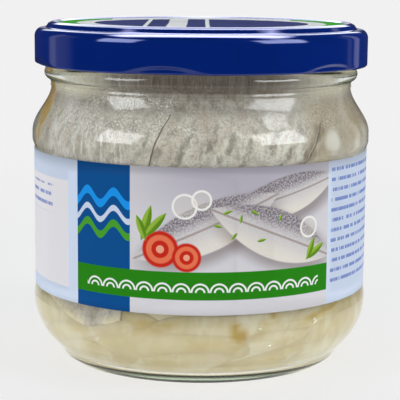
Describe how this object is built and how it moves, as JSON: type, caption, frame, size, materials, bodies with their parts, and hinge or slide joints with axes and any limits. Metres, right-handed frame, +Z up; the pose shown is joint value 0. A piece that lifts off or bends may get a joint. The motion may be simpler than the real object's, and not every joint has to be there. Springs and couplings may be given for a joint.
{
  "type": "jar of herring fillets",
  "caption": "Shut round glass jar with a twist-off metal lid and a paper label, filled with herring fillets in brine over sliced onion.",
  "frame": {"origin": "centre of the foot ring, on the surface that the jar stands on", "axes": "+Z up along the jar's axis, through the middle of the lid; the front of the label faces -Y"},
  "size_m": [0.0856, 0.0856, 0.0847],
  "materials": {
    "clear_glass": "clear smooth container glass, very slightly green in its thick base",
    "blue_lacquered_lid": "gloss dark blue lacquer on sheet steel, white and green printed panel on top",
    "paper_label": "coated paper, printed in light blue, dark blue, green and pale grey fields",
    "herring": "wet marinated fish, silver-grey mottled skin and cream flesh",
    "onion": "pale cream, slightly translucent pickled onion",
    "brine": "clear pale yellow brine"
  },
  "bodies": {
    "root": {"jar": "clear_glass", "lid": "blue_lacquered_lid", "label": "paper_label", "fillets": "herring", "onions": "onion"}
  },
  "joints": []
}
